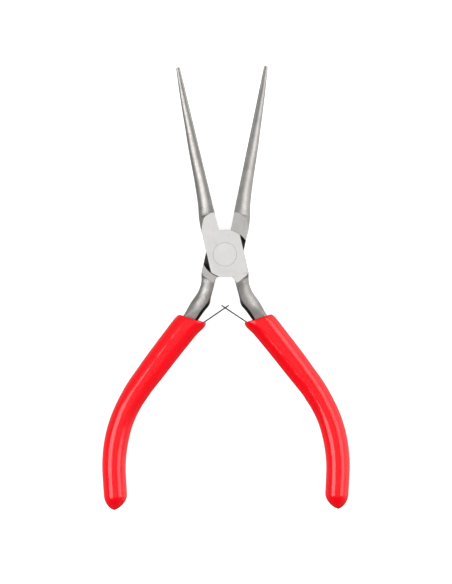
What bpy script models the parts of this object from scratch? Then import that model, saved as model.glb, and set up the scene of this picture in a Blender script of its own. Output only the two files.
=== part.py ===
"""Round nose pliers with dipped grips and two crossed leaf springs, lying flat.

The pivot axis is +Z through the origin, the jaws point along +Y, and the underside
of the head and of the grips lies in the plane z = 0.

Both levers are one and the same forging. It is described once, in its own plan: the
pivot at (0, 0), the jaw up along +Y against the line x = 0, the handle down to the
right. The upper lever is that forging swung open to one side. The lower lever is the
same forging turned over about Y and swung open to the other side. The two jaws are
then set over by a fraction of a degree, both to the same side.
"""

from math import cos, pi, radians, sin, sqrt

import bmesh
import bpy
from mathutils import Vector

# All constants are millimetres and degrees.
METRES_PER_MM = 0.001
CLEARANCE = 0.3

THICKNESS = 9.0
MIDDLE = THICKNESS / 2
HALF_OPENING = 12.55

# Jaw: distance from the pivot, width in plan, half height of the uncut cone.
JAW_TIP_Y = 62.0
JAW_INNER_X = -0.12
JAW = (
    (8.0, 5.62, 5.60),
    (9.0, 5.63, 5.60),
    (11.6, 5.48, 5.55),
    (12.8, 5.38, 5.35),
    (13.8, 5.24, 4.55),
    (17.3, 4.62, 4.05),
    (24.8, 3.96, 3.30),
    (35.2, 3.42, 2.45),
    (41.8, 2.93, 1.95),
    (52.0, 2.18, 1.25),
    (61.6, 1.24, 0.62),
    (JAW_TIP_Y, 0.82, 0.38),
)
# Both jaws lean a little to the left of the line that halves the handles.
JAW_LEAN = 0.60
JAW_LEANS_FROM_Y = 8.0
JAW_LEANS_FULLY_AT_Y = 16.0
# Above this height the jaw's section turns gradually from a half round into a full
# round one; below it, it squares up into the head, and is square here:
JAW_ROUND_FROM_Y = 12.5
JAW_SQUARE_AT_Y = 9.0
# Corner sizes as shares of the section, at the root of the jaw and how they change.
JAW_INNER_CORNER = (0.05, 0.12)
JAW_OUTER_CORNER = (0.86, 0.96)
JAW_CORNER_SHIFT = 0.30
JAW_INNER_RISE = 0.70

# Head: the flat strip that crosses the pivot, and the round shoulders that it turns in.
HEAD_LEFT_X = -5.65
HEAD_RIGHT_X = 6.10
PLATE_RADIUS = 7.95
PLATE_LOW_RADIUS = 7.30
PLATE_LOW_CHORD = 7.08
HEAD_CORNER = 0.25

# Sections across the lever: down the jaw, around the top of the plate, down the head.
JAW_SECTIONS_Y = (
    *(JAW_TIP_Y, 61.6, 58.0, 51.5, 45.0, 38.5, 32.0, 26.5, 22.0, 18.5, 16.0),
    *(14.6, 13.8, 13.2, 12.6, 12.0, 11.2, 10.4, 9.6, 9.0, 8.0),
)
PLATE_TOP_ANGLES = (3.0, 10.0, 18.0, 27.0, 36.0, 44.0, 50.1)
HEAD_SECTIONS_Y = (0.0, -4.62, -5.2, -5.8, -6.3, -6.57, -7.0, -7.4)

# Shank: inner and outer edge in plan, half height, crown of the top, rounding.
SHANK = (
    ((1.30, -8.50), (6.00, -7.95), 4.50, 0.00, 0.25),
    ((1.32, -9.90), (5.62, -9.45), 4.42, 0.15, 0.35),
    ((1.36, -11.60), (5.50, -11.30), 4.10, 0.45, 0.90),
    ((1.46, -14.50), (5.92, -13.70), 3.65, 0.50, 1.00),
    ((1.46, -16.85), (6.90, -16.10), 3.30, 0.45, 0.90),
    ((2.68, -19.40), (7.62, -18.00), 3.00, 0.35, 0.75),
)

# Handle line: straight out of the shank, one long bend inwards, straight to the end.
HANDLE_START = (6.06, -22.56)
HANDLE_ANGLE = 26.0
HANDLE_STRAIGHT = 25.0
HANDLE_BEND_RADIUS = 45.0
HANDLE_BEND = 42.0
GRIP_LENGTH = 64.0

# Tang, along the handle line: distance, middle offset, half width, half height.
TANG = (
    (0.0, 0.45, 2.35, 2.75),
    (14.0, 0.25, 2.15, 2.60),
    (58.0, 0.00, 1.60, 2.10),
)
TANG_CORNER = (0.9, 1.2)
TANG_STATIONS = 20

# Grip, along the handle line: distance, inner half width, outer half width.
GRIP = (
    (-0.2, 4.85, 4.25),
    (1.4, 4.68, 4.38),
    (4.8, 4.40, 4.40),
    (14.0, 4.36, 4.25),
    (20.0, 4.38, 4.05),
    (24.0, 4.36, 3.82),
    (29.0, 4.38, 3.68),
    (34.0, 4.18, 3.58),
    (40.0, 4.02, 3.66),
    (48.0, 4.06, 3.70),
    (GRIP_LENGTH, 3.92, 3.58),
)
GRIP_CORNER = (0.40, 0.72)
GRIP_MOUTH_SLANT = 24.0
GRIP_SLANT_FADES_IN = 12.0
GRIP_END_REACH = 4.7
GRIP_END_STEPS = (0.35, 0.6, 0.8, 0.92, 0.985)
GRIP_STATIONS = 26
BORE_START = -8.0

# Pocket in the grip's mouth: the room in which the spring's leaf swings.
POCKET = ((-6.0, -1.3), (10.0, -1.3), (10.0, -3.55), (4.2, -3.55), (-6.0, -7.90))
POCKET_HALF_HEIGHT = 2.6

# Springs: each is a foot riveted to the tang and a leaf that crosses the other leaf.
SPRING_THICKNESS = 0.3
SPRING_WIDTH = 4.0
SPRING_BEND_S = 2.82
SPRING_BEND_D = -2.35
LEAF_ANGLE = 43.5
LEAF_LENGTH = 14.35
LEAF_NARROWS_AT = 11.3
TONGUE_WIDTH = 1.0
SLOT_WIDTH = 1.8
FOOT_START_S = 3.4
FOOT_END_S = 9.4
RIVET_S = 6.8
SPRING_RIVET_RADIUS = 0.7
SPRING_RIVET_HEAD_RADIUS = 1.2
SPRING_RIVET_HEAD = 0.55
SPRING_RIVET_DEPTH = 2.6

# Pivot rivet: a shaft with a countersunk head at each face, both flush.
RIVET_SHAFT_RADIUS = 2.4
RIVET_HEAD_RADIUS = 3.75
RIVET_HEAD_RIM = 0.5
RIVET_HEAD_DEPTH = 1.7
RIVET_EDGE = 0.12
ROUND_STEPS = 40

CORNER_STEPS = 4


def clear_scene():
    for found in list(bpy.data.objects):
        bpy.data.objects.remove(found, do_unlink=True)


def make_material(name, colour, roughness, metallic):
    material = bpy.data.materials.new(name)
    material.use_nodes = True
    shader = material.node_tree.nodes["Principled BSDF"]
    shader.inputs["Base Color"].default_value = (*colour, 1.0)
    shader.inputs["Roughness"].default_value = roughness
    shader.inputs["Metallic"].default_value = metallic
    material.diffuse_color = (*colour, 1.0)
    return material


def make_object(name, mesh_data, material, parent):
    """Turn a bmesh built in millimetres into a named object in metres."""
    for vertex in mesh_data.verts:
        vertex.co *= METRES_PER_MM
    bmesh.ops.recalc_face_normals(mesh_data, faces=mesh_data.faces)
    mesh = bpy.data.meshes.new(name)
    mesh_data.to_mesh(mesh)
    mesh_data.free()
    mesh.materials.append(material)
    made = bpy.data.objects.new(name, mesh)
    made.parent = parent
    bpy.context.collection.objects.link(made)
    return made


def shade_round(made, sharp_angle=35.0):
    made.data.shade_smooth()
    made.data.set_sharp_from_angle(angle=radians(sharp_angle))


def interpolate(table, at):
    """Read the columns after the first of a table by its first column, smoothly."""
    if at <= table[0][0]:
        return table[0][1:]
    if at >= table[-1][0]:
        return table[-1][1:]
    upper = next(i for i, row in enumerate(table) if row[0] >= at)
    low, high = table[upper - 1], table[upper]
    before = table[max(upper - 2, 0)]
    after = table[min(upper + 1, len(table) - 1)]
    span = high[0] - low[0]
    t = (at - low[0]) / span
    values = []
    for column in range(1, len(low)):
        slope_low = (high[column] - before[column]) / (high[0] - before[0]) * span
        slope_high = (after[column] - low[column]) / (after[0] - low[0]) * span
        values.append(
            (2 * t**3 - 3 * t**2 + 1) * low[column]
            + (t**3 - 2 * t**2 + t) * slope_low
            + (3 * t**2 - 2 * t**3) * high[column]
            + (t**3 - t**2) * slope_high
        )
    return tuple(values)


def ring(edge_a, edge_b, half_height, corner_a, corner_b, crown=0.0):
    """A closed section that stands on the line from edge_a to edge_b in plan.

    Each corner is a quarter of an ellipse, given as (along, up). What would rise above
    the ground faces is cut flat.
    """
    start = Vector(edge_a)
    across = Vector(edge_b) - start
    width = across.length
    across.normalize()
    corners = (
        (width - corner_b[0], corner_b, 1),
        (corner_a[0], corner_a, 1),
        (corner_a[0], corner_a, -1),
        (width - corner_b[0], corner_b, -1),
    )
    points = []
    for quarter, (centre, radii, side) in enumerate(corners):
        for step in range(CORNER_STEPS + 1):
            angle = (quarter + step / CORNER_STEPS) * pi / 2
            along = centre + radii[0] * cos(angle)
            height = side * (half_height - radii[1]) + radii[1] * sin(angle)
            lean = 2 * along / width - 1
            height -= side * crown * lean * lean
            height = max(-MIDDLE, min(MIDDLE, height))
            place = start + across * along
            points.append((place.x, place.y, MIDDLE + height))
    return points


def loft(rings):
    """Skin a row of rings that have the same number of points, and close both ends."""
    built = bmesh.new()
    rows = [[built.verts.new(point) for point in points] for points in rings]
    for row, following in zip(rows, rows[1:]):
        for i in range(len(row)):
            j = (i + 1) % len(row)
            built.faces.new((row[i], row[j], following[j], following[i]))
    built.faces.new(rows[0])
    built.faces.new(rows[-1])
    return built


def handle_place(distance, offset):
    """The plan point at a distance along the handle line and an offset out from it."""
    angle = radians(HANDLE_ANGLE)
    x, y = HANDLE_START
    straight = min(distance, HANDLE_STRAIGHT)
    x += straight * sin(angle)
    y -= straight * cos(angle)
    bent = max(0.0, min(distance - HANDLE_STRAIGHT, HANDLE_BEND_RADIUS * radians(HANDLE_BEND)))
    turned = angle - bent / HANDLE_BEND_RADIUS
    x += HANDLE_BEND_RADIUS * (cos(turned) - cos(angle))
    y += HANDLE_BEND_RADIUS * (sin(turned) - sin(angle))
    rest = max(0.0, distance - HANDLE_STRAIGHT - bent)
    x += rest * sin(turned)
    y -= rest * cos(turned)
    return x + offset * cos(turned), y + offset * sin(turned)


def jaw_ring(y):
    width, half_height = interpolate(JAW, y)
    share = (y - JAW_ROUND_FROM_Y) / (JAW_TIP_Y - JAW_ROUND_FROM_Y)
    share = max(0.0, min(1.0, share))
    inner = (
        width * (JAW_INNER_CORNER[0] + JAW_CORNER_SHIFT * share * share),
        half_height * (JAW_INNER_CORNER[1] + JAW_INNER_RISE * share),
    )
    outer = (
        width * (JAW_OUTER_CORNER[0] - JAW_CORNER_SHIFT * share * share),
        half_height * JAW_OUTER_CORNER[1],
    )
    base = (JAW_ROUND_FROM_Y - y) / (JAW_ROUND_FROM_Y - JAW_SQUARE_AT_Y)
    base = max(0.0, min(1.0, base))
    outer = (
        outer[0] * (1 - base) + HEAD_CORNER * base,
        outer[1] * (1 - base) + HEAD_CORNER * base,
    )
    return ring((JAW_INNER_X - width, y), (JAW_INNER_X, y), half_height, outer, inner)


def head_edges(y):
    """The left and right edge of the head's strip at one height in plan."""
    right = HEAD_RIGHT_X
    if y > 0:
        right = min(right, sqrt(max(PLATE_RADIUS**2 - y**2, JAW_INNER_X**2)))
    left = HEAD_LEFT_X
    if y < 0:
        arc = -sqrt(max(PLATE_LOW_RADIUS**2 - y**2, 0.0))
        swing = radians(HALF_OPENING)
        chord = -(PLATE_LOW_CHORD + y * cos(swing)) / sin(swing)
        left = max(left, arc, chord)
    return left, right


def head_ring(y):
    left, right = head_edges(y)
    corner = (HEAD_CORNER, HEAD_CORNER)
    return ring((left, y), (right, y), MIDDLE, corner, corner)


def lean_jaw(rings, lean):
    """Turn the jaw's sections about the pivot, less and less towards its root."""
    span = JAW_LEANS_FULLY_AT_Y - JAW_LEANS_FROM_Y
    leaned = []
    for points in rings:
        share = (points[0][1] - JAW_LEANS_FROM_Y) / span
        share = max(0.0, min(1.0, share))
        angle = radians(lean) * share * share * (3 - 2 * share)
        c, s = cos(angle), sin(angle)
        leaned.append([(x * c - y * s, x * s + y * c, z) for x, y, z in points])
    return leaned


def lever_rings(lean):
    """Every section of the forging, from the jaw's tip to the end of the tang."""
    rings = lean_jaw([jaw_ring(y) for y in JAW_SECTIONS_Y], lean)
    rings += [head_ring(PLATE_RADIUS * cos(radians(angle))) for angle in PLATE_TOP_ANGLES]
    rings += [head_ring(y) for y in HEAD_SECTIONS_Y]
    for inner, outer, half_height, crown, round_over in SHANK:
        corner_in = (round_over, 1.5 * round_over)
        corner_out = (1.5 * round_over, 2 * round_over)
        rings.append(ring(inner, outer, half_height, corner_in, corner_out, crown))
    end = TANG[-1][0]
    for station in range(TANG_STATIONS + 1):
        distance = end * station / TANG_STATIONS
        middle, half_width, half_height = interpolate(TANG, distance)
        inner = handle_place(distance, middle - half_width)
        outer = handle_place(distance, middle + half_width)
        rings.append(ring(inner, outer, half_height, TANG_CORNER, TANG_CORNER))
    return rings


def turned_solid(profile):
    """A solid of revolution about Z from (radius, height) pairs, top to bottom."""
    built = bmesh.new()
    rows = []
    for radius, height in profile:
        row = []
        for step in range(ROUND_STEPS):
            angle = 2 * pi * step / ROUND_STEPS
            row.append(built.verts.new((radius * cos(angle), radius * sin(angle), height)))
        rows.append(row)
    for row, following in zip(rows, rows[1:]):
        for i in range(ROUND_STEPS):
            j = (i + 1) % ROUND_STEPS
            built.faces.new((row[i], row[j], following[j], following[i]))
    built.faces.new(rows[0])
    built.faces.new(rows[-1])
    return built


def prism(outline, low, high):
    """An upright solid over a closed outline in plan."""
    built = bmesh.new()
    face = built.faces.new([built.verts.new((x, y, low)) for x, y in outline])
    grown_faces = bmesh.ops.extrude_face_region(built, geom=[face])["geom"]
    moved = [item for item in grown_faces if isinstance(item, bmesh.types.BMVert)]
    bmesh.ops.translate(built, verts=moved, vec=(0, 0, high - low))
    return built


def cutter(name, mesh_data, parent):
    made = make_object(name, mesh_data, guide_material, parent)
    made.hide_render = True
    made.display_type = "WIRE"
    return made


def cut(target, tool):
    modifier = target.modifiers.new("cut_" + tool.name, "BOOLEAN")
    modifier.operation = "DIFFERENCE"
    modifier.solver = "EXACT"
    modifier.object = tool


def rivet_profile(growth, reach):
    """The pivot rivet's outline, or, grown and lengthened, the hole that it fills."""
    shaft = RIVET_SHAFT_RADIUS + growth
    head = RIVET_HEAD_RADIUS + growth
    edge = RIVET_EDGE if not growth else 0.0
    half = [
        (head - edge, MIDDLE + reach),
        (head, MIDDLE - edge),
        (head, MIDDLE - RIVET_HEAD_RIM),
        (shaft, MIDDLE - RIVET_HEAD_DEPTH),
    ]
    profile = [(r, MIDDLE + h) for r, h in half]
    return profile + [(r, MIDDLE - h) for r, h in reversed(half)]


def make_lever(name, lean, parent):
    lever = make_object(name, loft(lever_rings(lean)), steel, parent)
    shoulder = PLATE_RADIUS + CLEARANCE / 2
    lap = [(shoulder, MIDDLE + CLEARANCE / 2), (shoulder, -1.0)]
    cut(lever, cutter(name + "_lap_cutter", turned_solid(lap), parent))
    hole = turned_solid(rivet_profile(CLEARANCE, 1.0))
    cut(lever, cutter(name + "_pivot_hole_cutter", hole, parent))
    pin_hole = cutter(name + "_pin_hole_cutter", spring_rivet_hole(), parent)
    place_on_tang(pin_hole)
    cut(lever, pin_hole)
    shade_round(lever)


def place_on_tang(made):
    """Stand a turned piece on the tang's inner side, its axis out of the tang."""
    middle, half_width, _ = interpolate(TANG, RIVET_S)
    x, y = handle_place(RIVET_S, middle - half_width)
    made.location = Vector((x, y, MIDDLE)) * METRES_PER_MM
    made.rotation_euler = (pi / 2, 0, radians(HANDLE_ANGLE - 90))


def make_grip(name, parent):
    """A dipped sleeve, closed at its end, with a slanted mouth that flares inwards."""
    rings = []
    for station in range(GRIP_STATIONS + 1):
        distance = GRIP[0][0] + (GRIP_LENGTH - GRIP[0][0]) * station / GRIP_STATIONS
        rings.append(grip_ring(distance))
    for reach in GRIP_END_STEPS:
        rings.append(grip_ring(GRIP_LENGTH, reach))
    grip = make_object(name, loft(rings), rubber, parent)
    bore_rings = []
    bore_length = TANG[-1][0] + 2 * CLEARANCE - BORE_START
    for station in range(TANG_STATIONS + 1):
        distance = BORE_START + bore_length * station / TANG_STATIONS
        bore_rings.append(tang_bore_ring(distance))
    cut(grip, cutter(name + "_bore_cutter", loft(bore_rings), parent))
    pocket = [handle_place(distance, offset) for distance, offset in POCKET]
    pocket_solid = prism(pocket, MIDDLE - POCKET_HALF_HEIGHT, MIDDLE + POCKET_HALF_HEIGHT)
    cut(grip, cutter(name + "_pocket_cutter", pocket_solid, parent))
    shade_round(grip)


def grip_ring(distance, end_reach=0.0):
    """A grip section. Near the mouth it slants, and past the end it rounds off."""
    inner, outer = interpolate(GRIP, distance)
    shrink = sqrt(1 - end_reach**2)
    past = GRIP_END_REACH * end_reach
    fade = max(0.0, 1 - (distance - GRIP[0][0]) / GRIP_SLANT_FADES_IN)
    lean = radians(GRIP_MOUTH_SLANT) * fade
    edge_in = handle_place(distance + past - inner * sin(lean), -inner * shrink)
    edge_out = handle_place(distance + past + outer * sin(lean), outer * shrink)
    half_height = MIDDLE * shrink
    corner = ((inner + outer) * shrink * GRIP_CORNER[0], half_height * GRIP_CORNER[1])
    return ring(edge_in, edge_out, half_height, corner, corner)


def tang_bore_ring(distance):
    middle, half_width, half_height = interpolate(TANG, distance)
    low = handle_place(distance, middle - half_width - CLEARANCE)
    high = handle_place(distance, middle + half_width + CLEARANCE)
    return ring(low, high, half_height + CLEARANCE, TANG_CORNER, TANG_CORNER)


def strip(start, end, low, high, thickness):
    """A straight strip standing on the line from start to end in plan."""
    along = (Vector(end) - Vector(start)).normalized()
    side = Vector((-along.y, along.x)) * thickness / 2
    first, last = Vector(start), Vector(end)
    return prism([first - side, last - side, last + side, first + side], low, high)


def make_leaf(name, forked, parent):
    """A leaf drawn from its bend outwards along +Y: a fork or a tongue at its end."""
    half = SPRING_WIDTH / 2
    narrow = (SLOT_WIDTH if forked else TONGUE_WIDTH) / 2
    built = bmesh.new()
    wide_until = LEAF_LENGTH if forked else LEAF_NARROWS_AT
    narrow_until = LEAF_NARROWS_AT if forked else LEAF_LENGTH
    side = [(0.0, -half), (wide_until, -half), (wide_until, -narrow), (narrow_until, -narrow)]
    outline = side + [(y, -z) for y, z in reversed(side)]
    face = built.faces.new([built.verts.new((-SPRING_THICKNESS / 2, y, z)) for y, z in outline])
    new = bmesh.ops.extrude_face_region(built, geom=[face])["geom"]
    moved = [item for item in new if isinstance(item, bmesh.types.BMVert)]
    bmesh.ops.translate(built, verts=moved, vec=(SPRING_THICKNESS, 0, 0))
    leaf = make_object(name, built, spring_steel, parent)
    x, y = handle_place(SPRING_BEND_S, SPRING_BEND_D)
    leaf.location = Vector((x, y, MIDDLE)) * METRES_PER_MM
    leaf.rotation_euler = (0, 0, radians(LEAF_ANGLE))


def make_foot(name, parent):
    """The spring's foot: the strip that lies along the tang, with a hole for its rivet."""
    start = handle_place(FOOT_START_S, SPRING_BEND_D)
    end = handle_place(FOOT_END_S, SPRING_BEND_D)
    half = SPRING_WIDTH / 2
    blank = strip(start, end, MIDDLE - half, MIDDLE + half, SPRING_THICKNESS)
    foot = make_object(name, blank, spring_steel, parent)
    tool = cutter(name + "_hole_cutter", spring_rivet_hole(), parent)
    place_on_tang(tool)
    cut(foot, tool)


def spring_rivet_hole():
    """The hole for a spring's rivet, through the foot and blind in the tang."""
    radius = SPRING_RIVET_RADIUS + CLEARANCE
    return turned_solid([(radius, 2.0), (radius, -SPRING_RIVET_DEPTH - 2 * CLEARANCE)])


def make_spring_rivet(name, parent):
    """A small domed rivet that stands on the tang and clamps the spring's foot."""
    under_head = CLEARANCE + SPRING_THICKNESS + CLEARANCE
    profile = [
        (SPRING_RIVET_HEAD_RADIUS * 0.6, under_head + SPRING_RIVET_HEAD),
        (SPRING_RIVET_HEAD_RADIUS * 0.9, under_head + SPRING_RIVET_HEAD * 0.6),
        (SPRING_RIVET_HEAD_RADIUS, under_head),
        (SPRING_RIVET_RADIUS, under_head),
        (SPRING_RIVET_RADIUS, -SPRING_RIVET_DEPTH),
    ]
    rivet = make_object(name, turned_solid(profile), rivet_steel, parent)
    place_on_tang(rivet)
    shade_round(rivet)


def make_side(side, turned_over):
    """An empty on the pivot axis that carries everything that swings with one lever."""
    empty = bpy.data.objects.new(side + "_swing", None)
    bpy.context.collection.objects.link(empty)
    if turned_over:
        empty.location = (0, 0, THICKNESS * METRES_PER_MM)
        empty.rotation_euler = (0, pi, -radians(HALF_OPENING))
    else:
        empty.rotation_euler = (0, 0, radians(HALF_OPENING))
    return empty


clear_scene()
steel = make_material("satin_ground_steel", (0.62, 0.60, 0.58), 0.32, 1.0)
rivet_steel = make_material("bright_rivet_steel", (0.72, 0.70, 0.68), 0.28, 1.0)
spring_steel = make_material("spring_steel", (0.22, 0.21, 0.20), 0.35, 1.0)
rubber = make_material("red_dipped_vinyl", (0.86, 0.012, 0.022), 0.22, 0.0)
guide_material = make_material("guide", (0.5, 0.5, 0.5), 0.8, 0.0)

for lever_name, hand, over in (("upper_lever", "right", False), ("lower_lever", "left", True)):
    swing = make_side(hand, over)
    make_lever(lever_name, -JAW_LEAN if over else JAW_LEAN, swing)
    make_grip(hand + "_grip", swing)
    make_leaf(hand + "_spring_leaf", hand == "right", swing)
    make_foot(hand + "_spring_foot", swing)
    make_spring_rivet(hand + "_spring_rivet", swing)

pivot_rivet = make_object("pivot_rivet", turned_solid(rivet_profile(0.0, 0.0)), rivet_steel, None)
shade_round(pivot_rivet)
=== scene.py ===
"""Looks of the round nose pliers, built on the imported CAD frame.

Shapes are described in millimetres in the plan of one side of the tool, as the CAD has
them: the pivot at (0, 0), the jaw up along +Y, the handle down to the right. The upper
lever and the right grip are that plan swung open. The lower lever and the left grip are
the same plan turned over and swung the other way.
"""

from math import asin, cos, exp, hypot, pi, radians, sin, sqrt

import bmesh
import bpy
from mathutils import Matrix, Vector, noise


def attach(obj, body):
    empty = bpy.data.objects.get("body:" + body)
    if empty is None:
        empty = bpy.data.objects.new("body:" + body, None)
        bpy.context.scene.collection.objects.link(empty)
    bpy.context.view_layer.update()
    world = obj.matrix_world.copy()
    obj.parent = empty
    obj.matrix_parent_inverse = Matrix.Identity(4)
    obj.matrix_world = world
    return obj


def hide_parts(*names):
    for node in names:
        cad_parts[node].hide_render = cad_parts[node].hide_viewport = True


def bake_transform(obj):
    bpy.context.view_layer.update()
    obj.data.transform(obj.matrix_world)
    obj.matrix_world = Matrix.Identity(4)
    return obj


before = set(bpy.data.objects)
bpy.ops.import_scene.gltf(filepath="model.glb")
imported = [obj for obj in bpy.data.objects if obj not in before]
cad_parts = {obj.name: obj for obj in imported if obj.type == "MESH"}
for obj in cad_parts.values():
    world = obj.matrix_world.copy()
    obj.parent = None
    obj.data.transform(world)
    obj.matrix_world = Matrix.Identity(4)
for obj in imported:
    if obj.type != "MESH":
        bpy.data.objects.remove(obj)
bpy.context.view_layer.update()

MM = 0.001

# Measures are in millimetres and degrees, unless a comment says otherwise.
THICKNESS = 9.0
MIDDLE = THICKNESS / 2
HALF_OPENING = 12.55

JAW_TIP_Y = 62.0
JAW_INNER_X = -0.12
# Jaw: distance from the pivot, width and half height.
JAW = (
    (8.0, 5.62, 5.60),
    (9.0, 5.63, 5.60),
    (11.6, 5.48, 5.55),
    (12.8, 5.38, 5.35),
    (13.8, 5.24, 4.55),
    (17.3, 4.62, 4.05),
    (24.8, 3.96, 3.30),
    (35.2, 3.42, 2.45),
    (41.8, 2.93, 1.95),
    (52.0, 2.18, 1.25),
    (61.6, 1.24, 0.62),
    (JAW_TIP_Y, 1.20, 0.60),
)
# Both jaws lean a little to the left of the line that halves the handles.
JAW_LEAN = 0.60
JAW_LEANS_FROM_Y = 8.0
JAW_LEANS_FULLY_AT_Y = 16.0
JAW_ROUND_FROM_Y = 12.5
JAW_SQUARE_AT_Y = 9.0
# Corners of the jaw, as shares of its width and half height.
JAW_INNER_CORNER = (0.05, 0.12)
JAW_OUTER_CORNER = (0.86, 0.84)
# Near its root the jaw is squarer: this much of its rounding there is missing.
JAW_ROOT_SQUARER = 0.20
JAW_ROOT_LENGTH = 8.0
JAW_CORNER_SHIFT = 0.30
JAW_INNER_RISE = 0.70
# The tips are ground blunt: their edge is rounded, and this much of the width is flat.
JAW_TIP_ROUND = 0.35
JAW_TIP_FLAT = 0.45

HEAD_LEFT_X = -5.65
HEAD_RIGHT_X = 6.10
# The plate's radius towards the jaws and the handles, and its flat's distance from the
# pivot.
PLATE_RADIUS = 7.95
PLATE_LOW_RADIUS = 7.30
PLATE_LOW_CHORD = 7.08
HEAD_CORNER = 0.10
# The lap joint: the gap between the plates, and the radius of the room for a plate,
# towards the jaws and towards the handles. The steepness is that of the change between.
LAP_GAP = 0.3
LAP_HIGH_RADIUS = 7.985
LAP_LOW_RADIUS = 7.52
LAP_STEEPNESS = 3
LAP_CUT_TO_Z = -1.0

# The handle's line: where it starts in plan, its angle outward, and its bend back.
HANDLE_START = (6.06, -22.56)
HANDLE_ANGLE = 26.0
HANDLE_STRAIGHT = 25.0
HANDLE_BEND_RADIUS = 45.0
HANDLE_BEND = 42.0
GRIP_LENGTH = 64.0

# Tang: distance along the handle, middle, half width and half height.
TANG = (
    (0.0, 0.45, 2.35, 2.75),
    (14.0, 0.25, 2.15, 2.60),
    (58.0, 0.00, 1.60, 2.10),
)
TANG_CORNER = (0.9, 1.2)

# Shank: step, inner and outer edge in plan, half height, inner and outer corner.
SHANK = (
    (0.0, 1.20, -8.10, 6.08, -7.30, 4.50, 0.10, 0.10, 0.12, 0.12),
    (0.5, 1.27, -8.60, 5.99, -7.95, 4.60, 0.20, 0.20, 1.20, 1.00),
    (1.0, 1.30, -9.20, 5.82, -8.75, 4.58, 0.25, 0.25, 3.40, 1.70),
    (1.5, 1.32, -9.75, 5.66, -9.35, 4.49, 0.30, 0.30, 3.60, 1.85),
    (2.0, 1.33, -10.40, 5.56, -10.10, 4.36, 0.30, 0.35, 3.60, 1.95),
    (3.0, 1.36, -11.60, 5.50, -11.30, 4.10, 0.30, 0.50, 3.60, 2.15),
    (4.0, 1.46, -14.50, 5.92, -13.70, 3.65, 0.50, 0.90, 3.60, 2.60),
    (5.0, 1.46, -16.85, 6.90, -16.10, 3.42, 0.90, 1.90, 4.10, 3.10),
    (6.0, 2.68, -19.40, 7.62, -18.00, 3.08, 1.00, 2.00, 3.60, 2.80),
)
SHANK_END = 7.2
# A chamfer on the shank's inner side bulges out by this share of its size.
CHAMFER_BULGE = 0.05
# Painted shade: the shank's inner side is painted dark where it faces inward, starting
# between these places along Y, and between these amounts by which a surface faces inward.
SHADE_FROM_Y = (-14.4, -17.0)
SHADE_FACES_IN = (0.40, 0.62)
PAINTED_SHADE_COLOUR = (0.034, 0.031, 0.029)

# Grip: distance along the handle, and the reach inward and outward from its line.
GRIP = (
    (-0.2, 4.45, 4.15),
    (0.55, 4.70, 4.32),
    (1.2, 4.86, 4.40),
    (2.2, 4.72, 4.42),
    (3.6, 4.45, 4.42),
    (5.5, 4.38, 4.40),
    (14.0, 4.36, 4.25),
    (20.0, 4.38, 4.05),
    (24.0, 4.36, 3.82),
    (29.0, 4.38, 3.68),
    (34.0, 4.18, 3.58),
    (40.0, 4.02, 3.66),
    (48.0, 4.06, 3.70),
    (GRIP_LENGTH, 3.92, 3.58),
)
GRIP_CORNER = (0.50, 0.98)
GRIP_MOUTH_SLANT = 24.0
GRIP_SLANT_FADES_IN = 12.0
# The grip's end is a rounded point, a little to the outside of its middle.
GRIP_END_REACH = 4.9
GRIP_END_POINT = 0.70
GRIP_END_ROUND = 0.60
GRIP_END_SHIFT = 0.5
LIP_DEPTH = 0.75
WALL_GAP = 0.06
CAVITY_END = 58.3
# Inner side of the cavity in the grip, where the spring's leaf swings.
CAVITY_INNER = ((-0.2, 3.75), (4.2, 3.35), (9.4, 3.30), (12.0, 1.95), (CAVITY_END, 1.62))
# The dipped skin swells slowly and ripples finely: cells a millimetre, and height.
SWELL_CELLS = 0.11
SWELL_HEIGHT = 0.05
RIPPLE_CELLS = 0.42
RIPPLE_HEIGHT = 0.014
RIPPLE_SHIFT = (7, 3, 1)
# Dents in the skin: place in plan, radius and depth.
RIGHT_GRIP_DENTS = ((14.5, -49.5, 1.3, 0.10),)

SPRING_THICKNESS = 0.42
SPRING_WIDTH = 4.0
# Where the strip bends: distance along the handle, and offset out from its line.
SPRING_BEND_S = 2.82
SPRING_BEND_D = -2.35
# The bend takes up this length of the strip on both sides.
SPRING_BEND_REACH = 1.3
SPRING_BEVEL = 0.05
SPRING_BEVEL_ANGLE = 50
LEAF_ANGLE = 43.5
LEAF_LENGTH = 14.35
LEAF_NARROWS_AT = 11.3
TONGUE_WIDTH = 1.0
SLOT_WIDTH = 1.8
FOOT_LENGTH = 6.6
# Over this length the strip goes over from following the handle to following the leaf.
# The small rivet's distance along the handle, and its sizes.
RIVET_S = 6.8
SPRING_RIVET_RADIUS = 0.7
SPRING_RIVET_HEAD_RADIUS = 1.2
SPRING_RIVET_HEAD = 0.55
SPRING_RIVET_DEPTH = 2.6
SPRING_RIVET_SEAT = 0.62
SPRING_RIVET_OVERHANG = 0.01
# Holes for the small rivet: where they are cut from and to, and their radii.
HOLE_TOP = 2.0
TANG_HOLE_RADIUS = 0.78
TANG_HOLE_SPARE_DEPTH = 0.4
STRIP_HOLE_RADIUS = 0.74
STRIP_HOLE_BOTTOM = -1.0

RIVET_SHAFT_RADIUS = 2.4
RIVET_HEAD_RADIUS = 3.75
RIVET_HEAD_RIM = 0.5
RIVET_HEAD_DEPTH = 1.7
RIVET_EDGE = 0.06
RIVET_GAP = 0.04
# The hole for the pivot rivet is cut from this far outside the head.
RIVET_HOLE_SPARE = 1.0

CORNER_STEPS = 16
ROUND_STEPS = 150
# Points closer together than this are one point.
WELD = 0.001

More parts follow.
